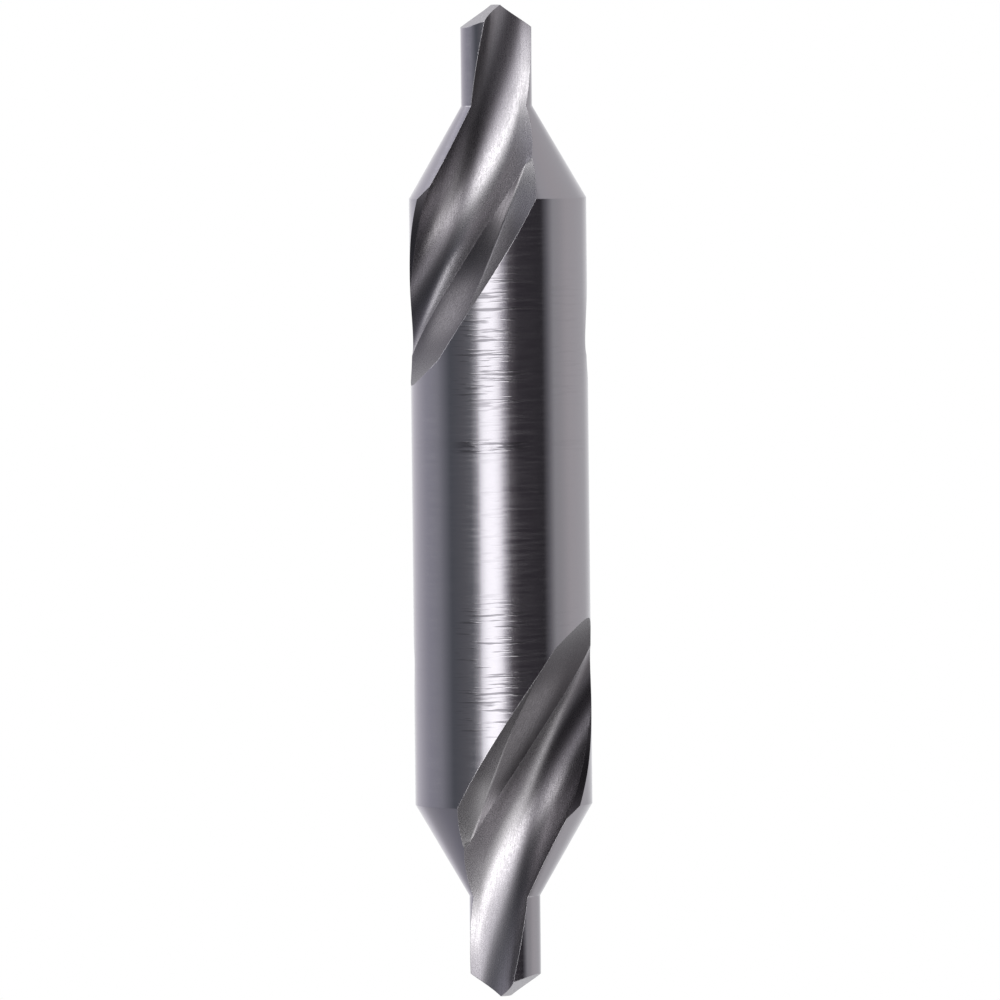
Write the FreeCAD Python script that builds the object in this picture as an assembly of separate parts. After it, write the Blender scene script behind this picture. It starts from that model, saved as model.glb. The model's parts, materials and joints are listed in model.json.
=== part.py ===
import FreeCAD, Part
import os
from math import acos, cos, pi, radians, sin, sqrt, tan

from FreeCAD import Vector

# A double-ended centre drill, ground from one round bar of high-speed steel.
# Lengths are in millimetres and angles in degrees. The drill axis is Z, the origin is half way
# along it, and the front is -Y. Each end has a pilot drill, a countersink and two right-hand
# helical flutes, and beside each flute a shallower ledge that clears the heel of the land.
#
# Flutes and ledges are drawn in the lip frame: a runs out along the lip and b points the way
# the lip cuts, both square to the drill axis. Headings there are measured from a towards b.
# Depths are measured along the drill axis from the chisel edge.

# Bar and steps
overall_length = 56.0
body_diameter = 10.0
pilot_diameter = 4.0
pilot_length = 5.7            # chisel edge to the foot of the countersink
countersink_angle = 60.0      # included

# Drill point
point_angle = 130.0           # included, along the lips
web_thickness = 0.8           # steel between the two flutes at the point
chisel_relief = 16.0          # slope of a flank where it crosses the chisel edge
flank_radius = 7.0            # each flank is part of a cylinder

# Main flutes
flutes_per_end = 2
helix_angle = 30.0            # at the body diameter
lip_heading = -19.5           # of the front lip at the chisel edge, turned from -Y towards +X
heel_wall_foot = -0.185       # where the heel wall would meet the floor, along a
heel_wall_lean = 26.6         # how far the heel wall leans back from b
heel_wall_fillet = 2.2        # the two fillets leave next to no flat floor
rake_wall_reach = 3.4         # where the hooked rake wall stands upright, along a
rake_wall_fillet = 2.2
flute_lift_start = 1.5        # the wheel starts to leave the steel here
flute_wheel_radius = 36.5
flute_lift_heading = 49.2

# Heel ledges
ledge_corner_radius = 3.37    # from the drill axis to the corner of the ledge
ledge_corner_heading = 106.1
ledge_corner_fillet = 0.35
ledge_floor_heading = 79.5    # the way the floor faces
ledge_side_heading = 48.1     # the way the side wall faces
ledge_start = 7.5             # still clear of the countersink here
ledge_lift_start = 12.2
ledge_wheel_radius = 18.0
ledge_lift_heading = 112.1

# The second end, half a turn over, is ground a little out of step with the first
second_end_phase = 6.0

# The bar is revolved from a half section at this angle from +X. Its seam then runs on a land
# from one shoulder and ends in a flute near the other, so the body is a single round face.
seam_heading = 238.0

# Grinding shapes run this far past the steel, and have a section this often
clearance = 2.0
section_step = 1.3

pilot_radius = pilot_diameter / 2
body_radius = body_diameter / 2
countersink_length = (body_radius - pilot_radius) / tan(radians(countersink_angle / 2))
lead = pi * body_diameter / tan(radians(helix_angle))
centre = Vector(0, 0, 0)
drill_axis = Vector(0, 0, 1)
tip_height = overall_length / 2


# A vector of one length in the lip frame, at a heading
def headed(length, heading):
    return Vector(length * cos(radians(heading)), length * sin(radians(heading)), 0)


# How far a wheel that leaves along an arc has come out at a depth
def wheel_lift(depth, start, wheel_radius):
    return max(depth - start, 0.0) ** 2 / (2 * wheel_radius)


# The turned bar: two pilots, two countersinks and the plain body, with room left for the points
def ground_blank():
    steel_end = tip_height + clearance
    countersink_foot = tip_height - pilot_length
    shoulder = countersink_foot - countersink_length
    half = [
        (0, steel_end),
        (pilot_radius, steel_end),
        (pilot_radius, countersink_foot),
        (body_radius, shoulder),
    ]
    outline = half + [(r, -z) for r, z in reversed(half)]
    points = [Vector(r, 0, z) for r, z in outline]
    face = Part.Face(Part.makePolygon(points + points[:1]))
    face.rotate(centre, drill_axis, seam_heading)
    return face.revolve(centre, drill_axis, 360)


# Height along b of the main flute's floor. The heel fillet comes nearest to the drill axis,
# and the web is what stays between it and the fillet of the other flute.
def floor_height():
    half_angle = radians(90 + heel_wall_lean) / 2
    fillet_middle = heel_wall_foot + heel_wall_fillet / tan(half_angle)
    from_axis = heel_wall_fillet + web_thickness / 2
    return sqrt(from_axis ** 2 - fillet_middle ** 2) - heel_wall_fillet


# Section of the main flute: leaning heel wall, rounded floor and hooked rake wall
def flute_section():
    top = body_radius + clearance
    floor = floor_height()
    heel_top = Vector(heel_wall_foot - (top - floor) * tan(radians(heel_wall_lean)), top, 0)
    heel_foot = Vector(heel_wall_foot, floor, 0)
    rake_foot = Vector(rake_wall_reach, floor, 0)
    rake_top = Vector(rake_wall_reach, top, 0)
    return rounded_section(
        [heel_top, heel_foot, rake_foot, rake_top],
        {1: heel_wall_fillet, 2: rake_wall_fillet},
    )


# Section of the ledge: a floor that runs into the flute, a rounded corner and a side wall
def ledge_section():
    corner = headed(ledge_corner_radius, ledge_corner_heading)
    reach = body_radius + clearance
    floor_end = corner + headed(reach, ledge_floor_heading - 90)
    floor_top = floor_end + headed(reach, ledge_floor_heading)
    side_end = corner + headed(reach, ledge_side_heading + 90)
    return rounded_section([floor_top, floor_end, corner, side_end], {2: ledge_corner_fillet})


# A closed outline through its corners in turn, with an arc at each corner that has a radius
def rounded_section(corners, radii):
    edges = []
    last = corners[0]
    for index in range(1, len(corners) + 1):
        corner = corners[index % len(corners)]
        radius = radii.get(index)
        if radius is None:
            edges.append(Part.LineSegment(last, corner).toShape())
            last = corner
            continue
        onward = corners[(index + 1) % len(corners)]
        back = (last - corner).normalize()
        ahead = (onward - corner).normalize()
        half_angle = acos(back.dot(ahead)) / 2
        bisector = (back + ahead).normalize()
        arc_start = corner + back * (radius / tan(half_angle))
        arc_end = corner + ahead * (radius / tan(half_angle))
        arc_middle = corner + bisector * (radius / sin(half_angle) - radius)
        edges.append(Part.LineSegment(last, arc_start).toShape())
        edges.append(Part.Arc(arc_start, arc_middle, arc_end).toShape())
        last = arc_end
    return Part.Wire(edges)


# The shape that a wheel sweeps: its section turns with the helix and lifts out along an arc
def wheel_sweep(section, start, end, lift_start, wheel_radius, lift_heading):
    count = int((end - start) / section_step) + 1
    wires = []
    for index in range(count + 1):
        depth = start + (end - start) * index / count
        wire = section.copy()
        lift = wheel_lift(depth, lift_start, wheel_radius)
        wire.translate(headed(lift, lift_heading) + Vector(0, 0, tip_height - depth))
        wire.rotate(centre, drill_axis, lip_heading - 90 - 360 * depth / lead)
        wires.append(wire)
    return Part.makeLoft(wires, True, False)


# The depth at which a lifted section has left the steel
def run_out_depth(nearest, lift_start, wheel_radius):
    return lift_start + sqrt(2 * wheel_radius * (body_radius + clearance / 2 - nearest))


def flute_cutter():
    end = run_out_depth(floor_height(), flute_lift_start, flute_wheel_radius)
    return wheel_sweep(
        flute_section(), -clearance, end, flute_lift_start, flute_wheel_radius, flute_lift_heading
    )


def ledge_cutter():
    nearest = ledge_corner_radius * cos(radians(ledge_corner_heading - ledge_floor_heading))
    end = run_out_depth(nearest, ledge_lift_start, ledge_wheel_radius)
    return wheel_sweep(
        ledge_section(), ledge_start, end, ledge_lift_start, ledge_wheel_radius, ledge_lift_heading
    )


# What is ground off above one flank: a cap on the pilot, less the cylinder that stays.
# The cylinder lies along the lip, so that the flank falls away behind the cutting edge.
def flank_cutter():
    lip_slope = 90 - point_angle / 2
    cap_radius = pilot_radius + clearance / 2
    cap_depth = pilot_radius + clearance / 2
    cap = Part.makeCylinder(
        cap_radius, cap_depth + 2 * clearance, Vector(0, 0, -cap_depth), drill_axis
    )
    along = Vector(cos(radians(lip_slope)), 0, -sin(radians(lip_slope)))
    upward = Vector(sin(radians(lip_slope)), 0, cos(radians(lip_slope)))
    middle = Vector(0, flank_radius * sin(radians(chisel_relief)), 0)
    middle -= upward * (flank_radius * cos(radians(chisel_relief)))
    kept = Part.makeCylinder(flank_radius, 4 * cap_radius, middle - along * (2 * cap_radius), along)
    cutter = cap.cut(kept)
    cutter.translate(Vector(0, 0, tip_height))
    cutter.rotate(centre, drill_axis, lip_heading - 90)
    return cutter


# All that is ground off one end: a flute, a ledge and a flank for each lip
def end_cutters():
    cutters = []
    for lip in range(flutes_per_end):
        for cutter in (flute_cutter(), ledge_cutter(), flank_cutter()):
            cutter.rotate(centre, drill_axis, 360 * lip / flutes_per_end)
            cutters.append(cutter)
    return cutters


def centre_drill():
    drill = ground_blank()
    for cutter in end_cutters():
        drill = drill.cut(cutter)
        second = cutter.copy()
        second.rotate(centre, drill_axis, second_end_phase)
        second.rotate(centre, Vector(0, 1, 0), 180)
        drill = drill.cut(second)
    return drill


drill = centre_drill()
os.makedirs("parts", exist_ok=True)
drill.exportStep("parts/centre_drill.step")
print("solids", len(drill.Solids), "faces", len(drill.Faces), "valid", drill.isValid())
print("volume", round(drill.Volume, 2), "height", round(drill.optimalBoundingBox().ZLength, 3))
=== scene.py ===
import json
from math import acos, cos, pi, radians, sin, sqrt, tan

import bmesh
import bpy
from mathutils import Matrix, Vector

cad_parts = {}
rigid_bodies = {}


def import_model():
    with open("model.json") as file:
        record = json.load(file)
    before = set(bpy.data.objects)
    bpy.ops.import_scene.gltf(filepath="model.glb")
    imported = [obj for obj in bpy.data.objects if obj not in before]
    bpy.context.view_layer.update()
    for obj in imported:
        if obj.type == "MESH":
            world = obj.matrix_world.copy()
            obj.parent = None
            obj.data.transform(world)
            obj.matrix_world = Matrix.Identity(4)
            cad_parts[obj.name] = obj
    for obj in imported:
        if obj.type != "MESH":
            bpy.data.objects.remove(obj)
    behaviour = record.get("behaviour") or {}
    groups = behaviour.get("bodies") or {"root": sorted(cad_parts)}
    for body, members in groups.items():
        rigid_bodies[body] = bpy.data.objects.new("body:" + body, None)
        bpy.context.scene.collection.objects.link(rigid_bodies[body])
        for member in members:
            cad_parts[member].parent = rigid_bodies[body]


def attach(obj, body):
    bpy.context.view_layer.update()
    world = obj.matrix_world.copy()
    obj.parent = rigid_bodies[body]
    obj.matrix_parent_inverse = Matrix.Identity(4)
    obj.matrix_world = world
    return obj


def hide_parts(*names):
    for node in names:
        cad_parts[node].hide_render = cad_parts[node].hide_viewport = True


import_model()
for leftover in [o for o in bpy.data.objects if o.name in ("Cube", "Light", "Camera")]:
    bpy.data.objects.remove(leftover)
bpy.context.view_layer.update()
print("frame loaded")

# Values are in mm and degrees and the meshes in metres. The drill stands upright on its axis, Z,
# and its front is -Y.
mm = 0.001
origin = (0, 0, 0)


# A web colour as the linear colour that the nodes take
def fromHex(code):
    parts = [int(code[i:i + 2], 16) / 255 for i in (1, 3, 5)]
    return [c / 12.92 if c <= 0.04045 else ((c + 0.055) / 1.055) ** 2.4 for c in parts] + [1]


# One node, with its settings and with values or links for its inputs
def addNode(tree, kind, inputs=None, **settings):
    made = tree.nodes.new(kind)
    for name, value in settings.items():
        setattr(made, name, value)
    for name, value in (inputs or {}).items():
        if isinstance(value, bpy.types.NodeSocket):
            tree.links.new(value, made.inputs[name])
        else:
            made.inputs[name].default_value = value
    return made


# Deselects everything and makes one object the active one
def workOn(piece):
    if bpy.context.object and bpy.context.object.mode != "OBJECT":
        bpy.ops.object.mode_set(mode="OBJECT")
    bpy.ops.object.select_all(action="DESELECT")
    piece.select_set(True)
    bpy.context.view_layer.objects.active = piece


# Selects, in edit mode, the vertices, edges or faces that pass a test
def pick(piece, kind, test):
    bpy.ops.mesh.select_mode(type={"verts": "VERT", "edges": "EDGE", "faces": "FACE"}[kind])
    bpy.ops.mesh.select_all(action="DESELECT")
    shape = bmesh.from_edit_mesh(piece.data)
    for item in getattr(shape, kind):
        if test(item):
            item.select_set(True)
    shape.select_flush_mode()
    bmesh.update_edit_mesh(piece.data)


# Gives a piece its one material
def dress(piece, material):
    piece.data.materials.clear()
    piece.data.materials.append(material)


# The same shape again, turned and with its own mesh
def turnedCopy(piece, turn):
    copy = piece.copy()
    copy.data = piece.data.copy()
    copy.data.transform(turn)
    bpy.context.collection.objects.link(copy)
    return copy


# Makes one object of several
def joined(pieces):
    workOn(pieces[0])
    for piece in pieces[1:]:
        piece.select_set(True)
    bpy.ops.object.join()
    return bpy.context.object


# Grinds one shape out of another, which takes the finish of what cut it
def grindOut(piece, cutter):
    workOn(piece)
    cut = piece.modifiers.new("cut", "BOOLEAN")
    cut.operation = "DIFFERENCE"
    cut.solver = "EXACT"
    cut.material_mode = "TRANSFER"
    cut.object = cutter
    bpy.ops.object.modifier_apply(modifier="cut")
    bpy.data.objects.remove(cutter)


steel = {
    "body": "#bdbbbe",
    "bodyScratch": "#626065",
    # painted light and shade: a lighter and a darker copy of the steel, put on walls by the way that
    # they face
    "heelWallPaintedLight": "#c2bfc2",
    "rakeWallPaintedShade": "#7e7b7e",
    # the ledge's side is painted light and its floor painted shade
    "ledgeSidePaintedLight": "#9c9a9c",
    "ledgeFloorPaintedShade": "#666366",
    "point": "#bfbdc0",
    "bodyRoughness": 0.14,
    "fluteRoughness": 0.28,
    "ledgeRoughness": 0.27,
    "pointRoughness": 0.22,
    "bodyDirection": 0.6,          # how much more a highlight smears across the grinding lines
    "fluteDirection": 0.7,
    "ringWidth": 0.16,             # mm, coarser than real grit marks so that it shows
    "ringLength": 2.2,
    "ringHeight": 0.0022,
    "scratched": (0.52, 0.64),     # noise at which a scratch starts, and at which it is whole
    "scratchTone": 0.7,            # how far a scratch goes towards its darker colour
    "wornFrom": 4.8,               # mm from the middle, where a collet has rubbed the body
    "wornTo": 14.0,
    "wornSide": -0.5,              # mm to the right of the middle, where the rubbed patches are
    "wornWidth": 2.4,
    "wornFront": 3.0,              # mm in front of the axis, where they are at their full depth
    "ringAt": 3.25,                # mm above the middle, where one ring is deeper
    "ringReach": 0.5,              # mm on either side of it
    "ringLines": (0.42, 0.52),
    "lineWidth": 0.06,             # mm, coarser than real grit marks too
    "lineLength": 2.4,
    "lineHeight": 0.0022,
    "fineHeight": 0.00088,         # on the ledges and the points, which are ground finer
    "lead": 54.41,                 # mm of length for one turn of the flutes
    "fluteMiddle": 103,            # degrees from the lip, the way that a flute's middle faces
    "fluteWalls": (56, 92),        # walls that face up to the first get the painted light, from the second the painted shade
    # the ledge's walls go from painted light to painted shade, as in the flutes
    "ledgeWalls": (52, 76),
    "pointWalls": (60, 90),
    "edge": 0.045,                 # mm, how far a ground edge is broken
}


# High-speed steel, cylindrically ground: rings round the bar, so the studio shows as long
# upright stripes with crisp sides, broken here and there by fine level lines.
def cylindricallyGroundSteel():
    material = bpy.data.materials.new("cylindrically_ground_steel")
    material.use_nodes = True
    tree = material.node_tree
    shader = tree.nodes["Principled BSDF"]
    place = addNode(tree, "ShaderNodeTexCoord").outputs["Object"]
    ringScale = (1 / (steel["ringLength"] * mm),) * 2 + (1 / (steel["ringWidth"] * mm),)
    rings = addNode(tree, "ShaderNodeMapping", {"Vector": place, "Scale": ringScale})
    marks = addNode(tree, "ShaderNodeTexNoise",
                    {"Vector": rings.outputs[0], "Scale": 1.0, "Detail": 2.0, "Roughness": 0.55})
    where = addNode(tree, "ShaderNodeSeparateXYZ", {"Vector": place})
    fromMiddle = addNode(tree, "ShaderNodeMath", {0: where.outputs["Z"]}, operation="ABSOLUTE")
    fromSide = addNode(tree, "ShaderNodeMath", {0: where.outputs["X"], 1: -steel["wornSide"] * mm},
                       operation="ADD")
    fromSide = addNode(tree, "ShaderNodeMath", {0: fromSide.outputs[0]}, operation="ABSOLUTE")
    side = addNode(tree, "ShaderNodeMapRange", {"Value": fromSide.outputs[0],
                   "From Min": steel["wornWidth"] * mm, "From Max": steel["wornWidth"] / 2 * mm,
                   "To Min": 0.06, "To Max": 1.0}, interpolation_type="SMOOTHSTEP")
    outer = addNode(tree, "ShaderNodeMapRange", {"Value": fromMiddle.outputs[0],
                    "From Min": steel["wornFrom"] * mm, "From Max": (steel["wornFrom"] + 1.5) * mm,
                    "To Min": 0.15, "To Max": 1.0}, interpolation_type="SMOOTHSTEP")
    inner = addNode(tree, "ShaderNodeMapRange", {"Value": fromMiddle.outputs[0],
                    "From Min": steel["wornTo"] * mm, "From Max": (steel["wornTo"] - 2) * mm,
                    "To Min": 0.1, "To Max": 1.0}, interpolation_type="SMOOTHSTEP")
    worn = addNode(tree, "ShaderNodeMath", {0: outer.outputs[0], 1: inner.outputs[0]},
                   operation="MULTIPLY")
    scratch = addNode(tree, "ShaderNodeMapRange", {"Value": marks.outputs["Fac"],
                      "From Min": steel["scratched"][0], "From Max": steel["scratched"][1],
                      "To Min": 0.0, "To Max": 1.0}, interpolation_type="SMOOTHSTEP")
    front = addNode(tree, "ShaderNodeMapRange", {"Value": where.outputs["Y"], "From Min": 0.0,
                    "From Max": -steel["wornFront"] * mm, "To Min": 0.1, "To Max": 1.0},
                    interpolation_type="SMOOTHSTEP")
    worn = addNode(tree, "ShaderNodeMath", {0: worn.outputs[0], 1: side.outputs[0]},
                   operation="MULTIPLY")
    worn = addNode(tree, "ShaderNodeMath", {0: worn.outputs[0], 1: front.outputs[0]},
                   operation="MULTIPLY")
    depth = addNode(tree, "ShaderNodeMath", {0: scratch.outputs[0], 1: worn.outputs[0]},
                    operation="MULTIPLY")
    # the one deeper ring, on the front a little above the middle
    fromRing = addNode(tree, "ShaderNodeMath", {0: where.outputs["Z"], 1: steel["ringAt"] * mm},
                       operation="SUBTRACT")
    fromRing = addNode(tree, "ShaderNodeMath", {0: fromRing.outputs[0]}, operation="ABSOLUTE")
    ring = addNode(tree, "ShaderNodeMapRange", {"Value": fromRing.outputs[0],
                   "From Min": steel["ringReach"] * mm, "From Max": steel["ringReach"] / 2 * mm,
                   "To Min": 0.0, "To Max": 1.0}, interpolation_type="SMOOTHSTEP")
    lines = addNode(tree, "ShaderNodeMapRange", {"Value": marks.outputs["Fac"],
                    "From Min": steel["ringLines"][0], "From Max": steel["ringLines"][1],
                    "To Min": 0.0, "To Max": 1.0}, interpolation_type="SMOOTHSTEP")
    for part in (lines, side, front):
        ring = addNode(tree, "ShaderNodeMath", {0: ring.outputs[0], 1: part.outputs[0]},
                       operation="MULTIPLY")
    depth = addNode(tree, "ShaderNodeMath", {0: depth.outputs[0], 1: ring.outputs[0]},
                    operation="MAXIMUM")
    broken = addNode(tree, "ShaderNodeBevel", {"Radius": steel["edge"] * mm}, samples=4)
    bump = addNode(tree, "ShaderNodeBump", {"Height": depth.outputs[0], "Strength": 1.0,
                   "Distance": steel["ringHeight"] * mm, "Normal": broken.outputs[0]})
    matt = addNode(tree, "ShaderNodeMapRange", {"Value": marks.outputs["Fac"],
                   "From Min": 0.3, "From Max": 0.7, "To Min": steel["bodyRoughness"] - 0.04,
                   "To Max": steel["bodyRoughness"] + 0.05})
    shaded = addNode(tree, "ShaderNodeMath", {0: depth.outputs[0], 1: steel["scratchTone"]},
                     operation="MULTIPLY")
    tone = addNode(tree, "ShaderNodeMix", {"Factor": shaded.outputs[0], 6: fromHex(steel["body"]),
                   7: fromHex(steel["bodyScratch"])}, data_type="RGBA")
    outward = addNode(tree, "ShaderNodeNewGeometry").outputs["Normal"]
    around = addNode(tree, "ShaderNodeVectorMath", {0: (0, 0, 1), 1: place},
                     operation="CROSS_PRODUCT")
    across = addNode(tree, "ShaderNodeVectorMath", {0: outward, 1: around.outputs[0]},
                     operation="CROSS_PRODUCT")
    across = addNode(tree, "ShaderNodeVectorMath", {0: across.outputs[0]}, operation="NORMALIZE")
    shader.inputs["Metallic"].default_value = 1.0
    shader.inputs["Anisotropic"].default_value = steel["bodyDirection"]
    tree.links.new(across.outputs[0], shader.inputs["Tangent"])
    tree.links.new(tone.outputs[2], shader.inputs["Base Color"])
    tree.links.new(matt.outputs[0], shader.inputs["Roughness"])
    tree.links.new(bump.outputs[0], shader.inputs["Normal"])
    return material


# The same steel, ground by a wheel that follows the helix: scratches run along the flute, with
# a sparkle where the wheel tore the steel, so a highlight is wide and soft across them. A wall
# that faces one way gets a lighter colour as painted light, and one that faces the other way a
# darker colour as painted shade: the heel wall against the floor and the rake wall.
def fluteGroundSteel(name, paintedLightColour, paintedShadeColour, walls, roughness, lineHeight):
    material = bpy.data.materials.new(name)
    material.use_nodes = True
    tree = material.node_tree
    shader = tree.nodes["Principled BSDF"]
    place = addNode(tree, "ShaderNodeTexCoord").outputs["Object"]
    height = addNode(tree, "ShaderNodeSeparateXYZ", {"Vector": place}).outputs["Z"]
    twist = addNode(tree, "ShaderNodeMath", {0: height, 1: -2 * pi / (steel["lead"] * mm)},
                    operation="MULTIPLY")
    straight = addNode(tree, "ShaderNodeVectorRotate", {"Vector": place, "Angle": twist.outputs[0]},
                       rotation_type="Z_AXIS")
    lineScale = (1 / (steel["lineWidth"] * mm),) * 2 + (1 / (steel["lineLength"] * mm),)
    lines = addNode(tree, "ShaderNodeMapping", {"Vector": straight.outputs[0], "Scale": lineScale})
    marks = addNode(tree, "ShaderNodeTexNoise",
                    {"Vector": lines.outputs[0], "Scale": 1.0, "Detail": 3.0, "Roughness": 0.65})
    torn = addNode(tree, "ShaderNodeTexNoise",
                   {"Vector": place, "Scale": 1 / (steel["lineWidth"] * mm), "Detail": 2.0,
                    "Roughness": 0.6})
    both = addNode(tree, "ShaderNodeMix", {"Factor": 0.5, 2: marks.outputs["Fac"],
                   3: torn.outputs["Fac"]}, data_type="FLOAT")
    broken = addNode(tree, "ShaderNodeBevel", {"Radius": steel["edge"] * mm}, samples=4)
    bump = addNode(tree, "ShaderNodeBump", {"Height": both.outputs[0], "Strength": 1.0,
                   "Distance": lineHeight * mm, "Normal": broken.outputs[0]})
    matt = addNode(tree, "ShaderNodeMapRange", {"Value": both.outputs[0], "From Min": 0.3,
                   "From Max": 0.7, "To Min": roughness - 0.07, "To Max": roughness + 0.07})
    outward = addNode(tree, "ShaderNodeNewGeometry").outputs["Normal"]
    # the normal turned back with the helix, so that x points out of the middle of its flute
    # and y from the heel wall to the rake wall, at both ends and in both flutes of each
    middle = steel["fluteMiddle"]
    first = wheel["lipHeading"] - 90 - 180 * bar["length"] / steel["lead"] + middle
    second = 180 - first - wheel["secondEndPhase"]
    end = addNode(tree, "ShaderNodeMath", {0: height}, operation="SIGN")
    offset = addNode(tree, "ShaderNodeMath", {0: end.outputs[0], 1: radians(second - first) / 2,
                     2: -radians(first + second) / 2}, operation="MULTIPLY_ADD")
    back = addNode(tree, "ShaderNodeMath", {0: twist.outputs[0], 1: offset.outputs[0]},
                   operation="ADD")
    facing = addNode(tree, "ShaderNodeVectorRotate", {"Vector": outward, "Angle": back.outputs[0]},
                     rotation_type="Z_AXIS")
    parts = addNode(tree, "ShaderNodeSeparateXYZ", {"Vector": facing.outputs[0]})
    flute = addNode(tree, "ShaderNodeMath", {0: parts.outputs["X"]}, operation="SIGN")
    lean = addNode(tree, "ShaderNodeMath", {0: parts.outputs["Y"], 1: flute.outputs[0]},
                   operation="MULTIPLY")
    lean = addNode(tree, "ShaderNodeMath", {0: lean.outputs[0], 1: end.outputs[0]},
                   operation="MULTIPLY")
    # painted shade: by the way that a wall faces in its flute or ledge, from the painted light
    # colour to the painted shade colour
    paintedShadeShare = addNode(tree, "ShaderNodeMapRange", {"Value": lean.outputs[0],
                     "From Min": sin(radians(walls[0] - middle)),
                     "From Max": sin(radians(walls[1] - middle)),
                     "To Min": 0.0, "To Max": 1.0}, interpolation_type="SMOOTHSTEP")
    ground = addNode(tree, "ShaderNodeMix", {"Factor": paintedShadeShare.outputs[0], 6: fromHex(paintedLightColour),
                     7: fromHex(paintedShadeColour)}, data_type="RGBA")
    grain = addNode(tree, "ShaderNodeMapRange", {"Value": both.outputs[0], "From Min": 0.3,
                    "From Max": 0.7, "To Min": 1.0, "To Max": 0.6})
    tone = addNode(tree, "ShaderNodeVectorMath", {0: ground.outputs[2], "Scale": grain.outputs[0]},
                   operation="SCALE")
    turning = addNode(tree, "ShaderNodeVectorMath",
                      {0: (0, 0, 2 * pi / (steel["lead"] * mm)), 1: place},
                      operation="CROSS_PRODUCT")
    along = addNode(tree, "ShaderNodeVectorMath", {0: turning.outputs[0], 1: (0, 0, 1)},
                    operation="ADD")
    across = addNode(tree, "ShaderNodeVectorMath", {0: outward, 1: along.outputs[0]},
                     operation="CROSS_PRODUCT")
    across = addNode(tree, "ShaderNodeVectorMath", {0: across.outputs[0]}, operation="NORMALIZE")
    shader.inputs["Metallic"].default_value = 1.0
    shader.inputs["Anisotropic"].default_value = steel["fluteDirection"]
    tree.links.new(across.outputs[0], shader.inputs["Tangent"])
    tree.links.new(tone.outputs[0], shader.inputs["Base Color"])
    tree.links.new(matt.outputs[0], shader.inputs["Roughness"])
    tree.links.new(bump.outputs[0], shader.inputs["Normal"])
    return material


bar = {
    "length": 56.0,
    "bodyDiameter": 10.0,
    "pilotDiameter": 4.0,
    "pilotLength": 5.7,
    "countersinkAngle": 60.0,
    "spare": 2.0,                  # steel past the points, for the flanks to be ground from
    "sides": 288,
    "ringStep": 0.36,              # mm between the rings of facets
    "merge": 0.002,                # mm, points nearer than this become one
    "sharp": 22,                   # degrees, the flattest edge that stays sharp
}


# The turned bar: the plain body, then each countersink and pilot extruded from its end
def turnBar():
    body = bar["bodyDiameter"] / 2 * mm
    pilot = bar["pilotDiameter"] / 2 * mm
    taper = (body - pilot) / tan(radians(bar["countersinkAngle"] / 2))
    foot = (bar["length"] / 2 - bar["pilotLength"]) * mm
    shoulder = foot - taper
    end = (bar["length"] / 2 + bar["spare"]) * mm
    bpy.ops.mesh.primitive_cylinder_add(vertices=bar["sides"], radius=body, depth=2 * shoulder,
                                        location=origin)
    piece = bpy.context.object
    piece.name = "ground_drill"
    workOn(piece)
    bpy.ops.object.mode_set(mode="EDIT")
    for way in (1, -1):
        pick(piece, "faces", lambda f: f.normal.z * way > 0.9)
        bpy.ops.mesh.extrude_region_move(TRANSFORM_OT_translate={"value": (0, 0, way * taper)})
        bpy.ops.transform.resize(value=(pilot / body, pilot / body, 1),
                                 center_override=(0, 0, way * foot))
        bpy.ops.mesh.extrude_region_move(
            TRANSFORM_OT_translate={"value": (0, 0, way * (end - foot))})
    # rings along the bar, so that the ground faces that are left stay small and even
    for low, high in ((-shoulder, shoulder), (shoulder, foot), (foot, end),
                      (-foot, -shoulder), (-end, -foot)):
        pick(piece, "edges", lambda e: abs(e.verts[0].co.z - e.verts[1].co.z) > 0.9 * (high - low)
             and low < (e.verts[0].co.z + e.verts[1].co.z) / 2 < high)
        bpy.ops.mesh.subdivide(number_cuts=int((high - low) / (bar["ringStep"] * mm)))
    bpy.ops.object.mode_set(mode="OBJECT")
    dress(piece, bodySteel)
    return piece


bodySteel = cylindricallyGroundSteel()
drill = turnBar()
print("bar turned:", len(drill.data.polygons), "faces")


# The wheel's sections are drawn with x out along the lip and y the way that the lip cuts, and
# their headings are measured from x towards y
wheel = {
    "lipHeading": -19.5,           # of the front lip, from -Y towards +X
    "web": 0.8,                    # steel between the two flutes at the point
    "heelFoot": -0.185,            # where the heel wall would meet the floor
    "heelLean": 26.6,
    "heelFillet": 2.2,
    "rakeReach": 3.4,
    "rakeFillet": 2.2,
    "fluteLiftStart": 1.5,
    "fluteWheel": 36.5,
    "fluteLiftHeading": 49.2,
    "ledgeCorner": 3.37,
    "ledgeCornerHeading": 106.1,
    "ledgeFillet": 0.35,
    "ledgeFloorHeading": 79.5,
    "ledgeSideHeading": 48.1,
    "ledgeStart": 7.5,
    "ledgeLiftStart": 12.2,
    "ledgeWheel": 18.0,
    "ledgeLiftHeading": 112.1,
    "secondEndPhase": 6.0,
    "clearance": 2.0,
    "filletSides": 20,
    "step": 0.25,                  # depth between sections
    "grain": 0.45,                 # between points along a straight wall
}


# the flutes get a lit and a shaded copy of their steel, painted light on the heel wall and painted
# shade on the floor and the rake wall
fluteSteel = fluteGroundSteel("flute_steel_painted_shade", steel["heelWallPaintedLight"], steel["rakeWallPaintedShade"],
                              steel["fluteWalls"], steel["fluteRoughness"], steel["lineHeight"])
# the ledges get painted light on their side and painted shade on their floor
ledgeSteel = fluteGroundSteel("ledge_steel_painted_shade", steel["ledgeSidePaintedLight"], steel["ledgeFloorPaintedShade"],
                              steel["ledgeWalls"], steel["ledgeRoughness"], steel["fineHeight"])
pointSteel = fluteGroundSteel("point_ground_steel", steel["point"], steel["point"],
                              steel["pointWalls"], steel["pointRoughness"], steel["fineHeight"])
print("steel finishes made")


# A length at an angle in the plane across the bar
def headed(length, heading):
    return Vector((length * cos(radians(heading)), length * sin(radians(heading)), 0))


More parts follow.
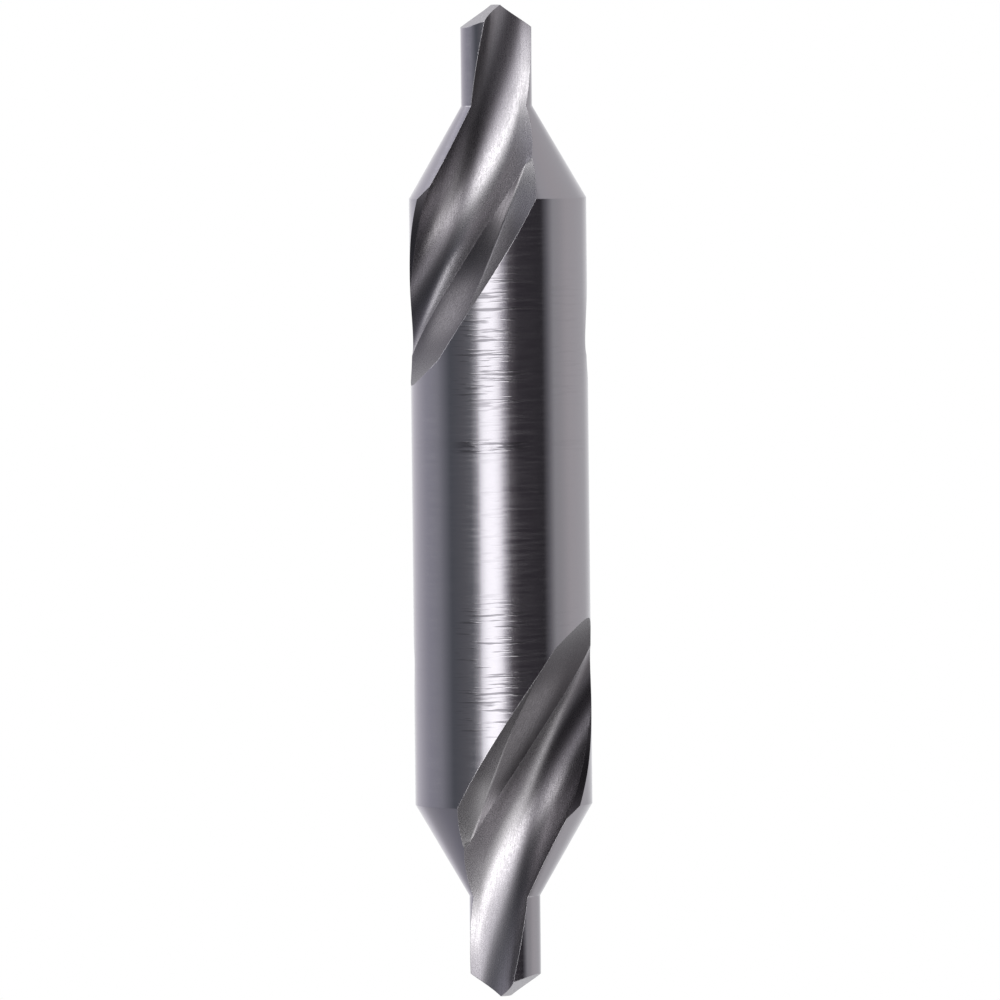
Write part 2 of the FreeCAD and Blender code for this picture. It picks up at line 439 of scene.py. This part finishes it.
# Lays out the wheel's section as a flat face with its corners rounded by a bevel
def layOutSection(outline, fillets):
    bpy.ops.object.select_all(action="DESELECT")
    bpy.ops.mesh.primitive_circle_add(vertices=4, radius=mm, fill_type="NGON", location=origin)
    piece = bpy.context.object
    for vertex, corner in zip(piece.data.vertices, outline):
        vertex.co = corner * mm
    workOn(piece)
    bpy.ops.object.mode_set(mode="EDIT")
    for index, radius in fillets.items():
        corner = outline[index]
        back = (outline[index - 1] - corner).normalized()
        ahead = (outline[(index + 1) % 4] - corner).normalized()
        tangent = radius / tan(acos(back.dot(ahead)) / 2)
        pick(piece, "verts", lambda v: (v.co - corner * mm).length < 0.01 * mm)
        bpy.ops.mesh.bevel(offset=tangent * mm, segments=wheel["filletSides"], profile=0.5,
                           affect="VERTICES")
    lengths = sorted({round(e.calc_length() / mm, 3)
                      for e in bmesh.from_edit_mesh(piece.data).edges}, reverse=True)
    for length in [one for one in lengths if one > 2 * wheel["grain"]]:
        pick(piece, "edges", lambda e: abs(e.calc_length() / mm - length) < 0.002)
        bpy.ops.mesh.subdivide(number_cuts=int(length / wheel["grain"]))
    return piece


# Sweeps the section down the bar: it turns with the helix and lifts out as the wheel leaves
def sweepWheel(piece, start, end, liftStart, wheelRadius, liftHeading, material):
    count = int((end - start) / wheel["step"]) + 1

    def turnAt(depth):
        return wheel["lipHeading"] - 90 - 360 * depth / steel["lead"]

    def liftAt(depth):
        return max(depth - liftStart, 0.0) ** 2 / (2 * wheelRadius)

    top = bar["length"] / 2
    begin = Matrix.Rotation(radians(turnAt(start)), 4, "Z")
    bpy.ops.object.mode_set(mode="OBJECT")
    piece.data.transform(begin @ Matrix.Translation(
        (headed(liftAt(start), liftHeading) + Vector((0, 0, top - start))) * mm))
    bpy.ops.object.mode_set(mode="EDIT")
    bpy.ops.mesh.select_mode(type="FACE")
    bpy.ops.mesh.select_all(action="SELECT")
    for index in range(count):
        depth = start + (end - start) * index / count
        deeper = start + (end - start) * (index + 1) / count
        out = headed(liftAt(deeper) - liftAt(depth), liftHeading + turnAt(depth))
        move = (out + Vector((0, 0, depth - deeper))) * mm
        bpy.ops.mesh.extrude_region_move(TRANSFORM_OT_translate={"value": move})
        bpy.ops.transform.rotate(value=-radians(turnAt(deeper) - turnAt(depth)), orient_axis="Z",
                                 center_override=origin)
    bpy.ops.mesh.select_all(action="SELECT")
    bpy.ops.mesh.normals_make_consistent(inside=False)
    bpy.ops.object.mode_set(mode="OBJECT")
    dress(piece, material)
    return piece


# A flute: leaning heel wall, rounded floor and hooked rake wall. The heel fillet comes nearest
# to the axis, so the web sets how high the floor is.
def fluteWheel():
    top = bar["bodyDiameter"] / 2 + wheel["clearance"]
    halfCorner = radians(90 + wheel["heelLean"]) / 2
    filletMiddle = wheel["heelFoot"] + wheel["heelFillet"] / tan(halfCorner)
    fromAxis = wheel["heelFillet"] + wheel["web"] / 2
    floor = sqrt(fromAxis ** 2 - filletMiddle ** 2) - wheel["heelFillet"]
    heelTop = wheel["heelFoot"] - (top - floor) * tan(radians(wheel["heelLean"]))
    outline = [Vector((heelTop, top, 0)), Vector((wheel["heelFoot"], floor, 0)),
               Vector((wheel["rakeReach"], floor, 0)), Vector((wheel["rakeReach"], top, 0))]
    section = layOutSection(outline, {1: wheel["heelFillet"], 2: wheel["rakeFillet"]})
    rise = bar["bodyDiameter"] / 2 + wheel["clearance"] / 2 - floor
    end = wheel["fluteLiftStart"] + sqrt(2 * wheel["fluteWheel"] * rise)
    return sweepWheel(section, -wheel["clearance"], end, wheel["fluteLiftStart"],
                      wheel["fluteWheel"], wheel["fluteLiftHeading"], fluteSteel)


# A ledge: a floor that runs into the flute, a rounded corner and a side wall
def ledgeWheel():
    corner = headed(wheel["ledgeCorner"], wheel["ledgeCornerHeading"])
    reach = bar["bodyDiameter"] / 2 + wheel["clearance"]
    floorEnd = corner + headed(reach, wheel["ledgeFloorHeading"] - 90)
    floorTop = floorEnd + headed(reach, wheel["ledgeFloorHeading"])
    sideEnd = corner + headed(reach, wheel["ledgeSideHeading"] + 90)
    section = layOutSection([floorTop, floorEnd, corner, sideEnd], {2: wheel["ledgeFillet"]})
    near = wheel["ledgeCorner"] * cos(radians(wheel["ledgeCornerHeading"]
                                              - wheel["ledgeFloorHeading"]))
    rise = bar["bodyDiameter"] / 2 + wheel["clearance"] / 2 - near
    end = wheel["ledgeLiftStart"] + sqrt(2 * wheel["ledgeWheel"] * rise)
    return sweepWheel(section, wheel["ledgeStart"], end, wheel["ledgeLiftStart"],
                      wheel["ledgeWheel"], wheel["ledgeLiftHeading"], ledgeSteel)


point = {
    "angle": 130.0,
    "chiselRelief": 16.0,          # degrees that a flank slopes where it meets the chisel edge
    "flankRadius": 7.0,
    "capSides": 64,
    "flankSides": 360,
}


# What is ground off over one flank: a cap on the pilot, less the cylinder that stays
def flankWheel():
    slope = radians(90 - point["angle"] / 2)
    relief = radians(point["chiselRelief"])
    radius = point["flankRadius"]
    cap = bar["pilotDiameter"] / 2 + wheel["clearance"] / 2
    depth = cap + 2 * wheel["clearance"]
    bpy.ops.object.select_all(action="DESELECT")
    bpy.ops.mesh.primitive_cylinder_add(vertices=point["capSides"], radius=cap * mm,
                                        depth=depth * mm, location=(0, 0, (depth / 2 - cap) * mm))
    blank = bpy.context.object
    upward = Vector((sin(slope), 0, cos(slope)))
    middle = Vector((0, radius * sin(relief), 0)) - upward * (radius * cos(relief))
    bpy.ops.object.select_all(action="DESELECT")
    bpy.ops.mesh.primitive_cylinder_add(vertices=point["flankSides"], radius=radius * mm,
                                        depth=6 * cap * mm, location=middle * mm,
                                        rotation=(0, pi / 2 + slope, 0))
    kept = bpy.context.object
    dress(blank, pointSteel)
    dress(kept, pointSteel)
    grindOut(blank, kept)
    workOn(blank)
    bpy.ops.object.transform_apply()
    turn = Matrix.Rotation(radians(wheel["lipHeading"] - 90), 4, "Z")
    blank.data.transform(turn @ Matrix.Translation((0, 0, bar["length"] / 2 * mm)))
    return blank


halfTurn = Matrix.Rotation(pi, 4, "Z")
otherEnd = Matrix.Rotation(pi, 4, "Y") @ Matrix.Rotation(radians(wheel["secondEndPhase"]), 4, "Z")
for makeWheel in (fluteWheel, ledgeWheel):
    first = makeWheel()
    second = turnedCopy(first, halfTurn)
    grindOut(drill, joined([first, second, turnedCopy(first, otherEnd),
                            turnedCopy(second, otherEnd)]))
    print("ground out:", makeWheel.__name__, len(drill.data.polygons), "faces")
first = flankWheel()
second = turnedCopy(first, halfTurn)
for flank in (first, second):
    grindOut(drill, joined([flank, turnedCopy(flank, otherEnd)]))
print("points ground:", len(drill.data.polygons), "faces")

workOn(drill)
bpy.ops.object.mode_set(mode="EDIT")
bpy.ops.mesh.select_all(action="SELECT")
bpy.ops.mesh.remove_doubles(threshold=bar["merge"] * mm)
bpy.ops.object.mode_set(mode="OBJECT")
bpy.ops.object.shade_smooth_by_angle(angle=radians(bar["sharp"]))
even = drill.modifiers.new("even", "WEIGHTED_NORMAL")
even.keep_sharp = True
bpy.ops.object.modifier_apply(modifier="even")
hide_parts("centre_drill")
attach(drill, "root")
print("drill finished:", len(drill.data.polygons), "faces",
      [m.name for m in drill.data.materials])


# What the polished steel sees round it, by the compass angle from the camera's side towards
# the right. A tall soft box stands a little left of the camera, dark cloth on its two sides,
# grey walls further round, and the pale backdrop behind the drill.
surround = [
    (-180, "#cecece"), (-150, "#afadb4"), (-112, "#85848e"), (-88, "#75757d"),
    (-68, "#494b51"), (-48, "#515156"), (-38, "#58595e"), (-30, "#8e8d92"), (-25, "#dcdbe0"),
    (-8, "#d2d0d6"), (1, "#b2afb6"), (7, "#807d84"), (13, "#464247"), (24, "#2d2a2f"),
    (58, "#29272b"), (66, "#605f64"), (76, "#959498"), (100, "#9a979a"), (140, "#9d9c9f"),
    (180, "#c4c4c6"),
]

# Dark corners of the room under the level of the drill, and a paler one above it: azimuth,
# elevation, reach, how dark
roomCorners = [(75, -35, 42, 0.5), (-115, -40, 40, 0.3), (-105, 32, 34, -0.3)]

# Two pale cards, one high on the left and a long one low on the right: azimuth, half width,
# lowest, highest, blend, gain
cards = [(-108, 24, 3, 28, 9, 1.8), (68, 46, -38, -14, 8, 1.3)]

room = {
    "wallGain": 1.75,
    "overhead": "#9a989c",         # ceiling and ground, past where the walls end
    "wallEnd": 0.75,               # sine of the elevation where the walls start to end
    "fill": 0.9,                   # plain light, for all that isn't a reflection
}

softBox = {
    "azimuth": -14.0,              # degrees, its middle at the camera's level
    "halfWidth": 14.0,
    "blend": 5.0,                  # its cloth fades out over this
    "slant": 1.2,                  # leans to the left going up, in azimuth per elevation
    "reach": 0.95,                 # sine of the elevation where it ends, above and below
    "endBlend": 0.2,
    "gain": 3.4,
    "levelGain": 0.6,              # dimmer at the level of the drill
    "levelBlend": (0.04, 0.26),    # sines of the elevations between which it gets brighter
}


def lightStudio():
    world = bpy.data.worlds.new("studio")
    bpy.context.scene.world = world
    world.use_nodes = True
    tree = world.node_tree
    tree.nodes.clear()
    way = addNode(tree, "ShaderNodeTexCoord").outputs["Generated"]
    parts = addNode(tree, "ShaderNodeSeparateXYZ", {"Vector": way})
    front = addNode(tree, "ShaderNodeMath", {0: parts.outputs["Y"], 1: -1.0}, operation="MULTIPLY")
    compass = addNode(tree, "ShaderNodeMath", {0: parts.outputs["X"], 1: front.outputs[0]},
                      operation="ARCTAN2")
    share = addNode(tree, "ShaderNodeMapRange", {"Value": compass.outputs[0], "From Min": -pi,
                    "From Max": pi, "To Min": 0.0, "To Max": 1.0})
    walls = addNode(tree, "ShaderNodeValToRGB", {"Fac": share.outputs[0]})
    ramp = walls.color_ramp
    while len(ramp.elements) > 1:
        ramp.elements.remove(ramp.elements[-1])
    ramp.elements[0].position = 0.0
    ramp.elements[0].color = fromHex(surround[0][1])
    for angle, colour in surround[1:]:
        stop = ramp.elements.new((angle + 180) / 360)
        stop.color = fromHex(colour)
    level = addNode(tree, "ShaderNodeMath", {0: parts.outputs["Z"]}, operation="ABSOLUTE")
    steep = addNode(tree, "ShaderNodeMapRange", {"Value": level.outputs[0],
                    "From Min": room["wallEnd"], "From Max": 1.0,
                    "To Min": 0.0, "To Max": 1.0}, interpolation_type="SMOOTHSTEP")
    whole = addNode(tree, "ShaderNodeMix", {"Factor": steep.outputs[0], 6: walls.outputs[0],
                    7: fromHex(room["overhead"])}, data_type="RGBA")
    strength = room["wallGain"]
    for azimuth, rise, reach, darkness in roomCorners:
        toward = (cos(radians(rise)) * sin(radians(azimuth)),
                  -cos(radians(rise)) * cos(radians(azimuth)), sin(radians(rise)))
        near = addNode(tree, "ShaderNodeVectorMath", {0: way, 1: toward}, operation="DOT_PRODUCT")
        shade = addNode(tree, "ShaderNodeMapRange", {"Value": near.outputs["Value"],
                        "From Min": cos(radians(reach)), "From Max": cos(radians(reach / 3)),
                        "To Min": 1.0, "To Max": 1.0 - darkness}, interpolation_type="SMOOTHSTEP")
        strength = addNode(tree, "ShaderNodeMath", {0: shade.outputs[0], 1: strength},
                           operation="MULTIPLY").outputs[0]
    lit = addNode(tree, "ShaderNodeBackground", {"Color": whole.outputs[2], "Strength": strength})
    elevation = addNode(tree, "ShaderNodeMath", {0: parts.outputs["Z"]}, operation="ARCSINE")
    middle = addNode(tree, "ShaderNodeMath", {0: elevation.outputs[0], 1: -softBox["slant"],
                     2: radians(softBox["azimuth"])}, operation="MULTIPLY_ADD")
    aside = addNode(tree, "ShaderNodeMath", {0: compass.outputs[0], 1: middle.outputs[0]},
                    operation="SUBTRACT")
    aside = addNode(tree, "ShaderNodeMath", {0: aside.outputs[0]}, operation="ABSOLUTE")
    across = addNode(tree, "ShaderNodeMapRange", {"Value": aside.outputs[0],
                     "From Min": radians(softBox["halfWidth"]),
                     "From Max": radians(softBox["halfWidth"] - softBox["blend"]),
                     "To Min": 0.0, "To Max": 1.0}, interpolation_type="SMOOTHSTEP")
    along = addNode(tree, "ShaderNodeMapRange", {"Value": level.outputs[0],
                    "From Min": softBox["reach"],
                    "From Max": softBox["reach"] - softBox["endBlend"],
                    "To Min": 0.0, "To Max": softBox["gain"]}, interpolation_type="SMOOTHSTEP")
    dimmer = addNode(tree, "ShaderNodeMapRange", {"Value": level.outputs[0],
                     "From Min": softBox["levelBlend"][0], "From Max": softBox["levelBlend"][1],
                     "To Min": softBox["levelGain"] / softBox["gain"], "To Max": 1.0},
                     interpolation_type="SMOOTHSTEP")
    glow = addNode(tree, "ShaderNodeMath", {0: across.outputs[0], 1: along.outputs[0]},
                   operation="MULTIPLY")
    glow = addNode(tree, "ShaderNodeMath", {0: glow.outputs[0], 1: dimmer.outputs[0]},
                   operation="MULTIPLY")
    for azimuth, halfWidth, lowest, highest, blend, gain in cards:
        aside = addNode(tree, "ShaderNodeMath", {0: compass.outputs[0], 1: radians(azimuth)},
                        operation="SUBTRACT")
        aside = addNode(tree, "ShaderNodeMath", {0: aside.outputs[0]}, operation="ABSOLUTE")
        card = gain
        for source, edge, inside in ((aside, halfWidth, halfWidth - blend),
                                     (elevation, lowest, lowest + blend),
                                     (elevation, highest, highest - blend)):
            fade = addNode(tree, "ShaderNodeMapRange", {"Value": source.outputs[0],
                           "From Min": radians(edge), "From Max": radians(inside),
                           "To Min": 0.0, "To Max": 1.0}, interpolation_type="SMOOTHSTEP")
            card = addNode(tree, "ShaderNodeMath", {0: fade.outputs[0], 1: card},
                           operation="MULTIPLY").outputs[0]
        glow = addNode(tree, "ShaderNodeMath", {0: glow.outputs[0], 1: card}, operation="ADD")
    box = addNode(tree, "ShaderNodeBackground",
                  {"Color": (1, 1, 1, 1), "Strength": glow.outputs[0]})
    seen = addNode(tree, "ShaderNodeAddShader", {0: lit.outputs[0], 1: box.outputs[0]})
    plain = addNode(tree, "ShaderNodeBackground", {"Color": (1, 1, 1, 1), "Strength": room["fill"]})
    white = addNode(tree, "ShaderNodeBackground", {"Color": (1, 1, 1, 1), "Strength": 1.0})
    ray = addNode(tree, "ShaderNodeLightPath")
    lighting = addNode(tree, "ShaderNodeMixShader", {0: ray.outputs["Is Diffuse Ray"],
                       1: seen.outputs[0], 2: plain.outputs[0]})
    final = addNode(tree, "ShaderNodeMixShader", {0: ray.outputs["Is Camera Ray"],
                    1: lighting.outputs[0], 2: white.outputs[0]})
    addNode(tree, "ShaderNodeOutputWorld", {"Surface": final.outputs[0]})


view = {
    "rise": 2.3,                   # degrees above level
    "distance": 0.8,               # m
    "frame": 56.43,                # mm of the object's height in the picture
    "lean": 0.611,                 # degrees, the top to the left
    "target": (-0.04, 0, 0.056),   # mm
    "sensor": 36,
}


def setCamera():
    lens = bpy.data.cameras.new("camera")
    lens.sensor_width = view["sensor"]
    lens.lens = view["sensor"] * view["distance"] / (view["frame"] * mm)
    lens.clip_start, lens.clip_end = 0.05, 50
    camera = bpy.data.objects.new("camera", lens)
    bpy.context.collection.objects.link(camera)
    rise, lean = radians(view["rise"]), radians(view["lean"])
    back = Vector((0, -cos(rise), sin(rise)))
    upright = Vector((0, sin(rise), cos(rise)))
    right = Vector((1, 0, 0))
    across = right * cos(lean) - upright * sin(lean)
    up = upright * cos(lean) + right * sin(lean)
    camera.matrix_world = Matrix((across, up, back)).transposed().to_4x4()
    camera.location = Vector(view["target"]) * mm + back * view["distance"]
    bpy.context.scene.camera = camera


lightStudio()
setCamera()
bpy.context.scene.view_settings.view_transform = "Standard"
print("studio set")
